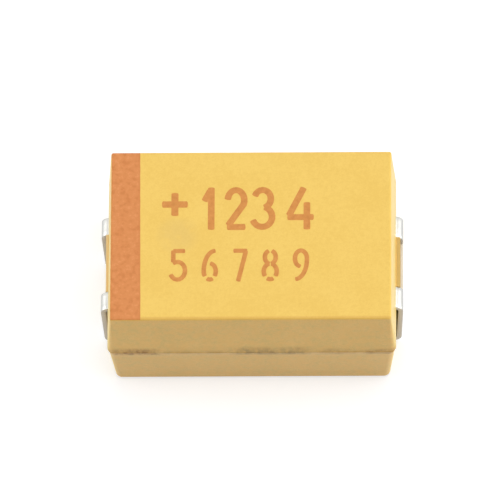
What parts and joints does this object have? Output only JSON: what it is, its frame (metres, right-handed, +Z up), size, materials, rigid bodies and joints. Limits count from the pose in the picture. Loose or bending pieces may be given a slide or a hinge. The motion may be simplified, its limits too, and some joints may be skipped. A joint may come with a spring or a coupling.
{
  "type": "tantalum capacitor",
  "caption": "Yellow moulded tantalum chip capacitor with an orange polarity bar and two tinned strip terminals folded under it, for surface mounting.",
  "frame": {"origin": "on the board, under the middle of the part: the centre of the bounding box, at the level of the feet", "axes": "+X along the length, from the anode end (polarity bar) to the cathode end; +Y across; +Z up, away from the board"},
  "size_m": [0.0072, 0.0046, 0.0032],
  "materials": {
    "epoxy_moulding": "fine matt moulded epoxy, marked on top",
    "tinned_strip": "satin tin plate on nickel-iron strip",
    "sintered_tantalum": "dull sintered metal",
    "tantalum_wire": "drawn wire",
    "fluoropolymer": "waxy white",
    "manganese_dioxide": "dull black, granular",
    "graphite": "dark grey, slightly shiny",
    "silver_paint": "matt silver-grey"
  },
  "bodies": {
    "root": {"moulded_case": "epoxy_moulding", "anode_terminal": "tinned_strip", "cathode_terminal": "tinned_strip", "tantalum_anode": "sintered_tantalum", "anode_wire": "tantalum_wire", "ptfe_washer": "fluoropolymer", "manganese_dioxide_layer": "manganese_dioxide", "graphite_coat": "graphite", "silver_coat": "silver_paint", "silver_adhesive": "silver_paint"}
  },
  "joints": []
}
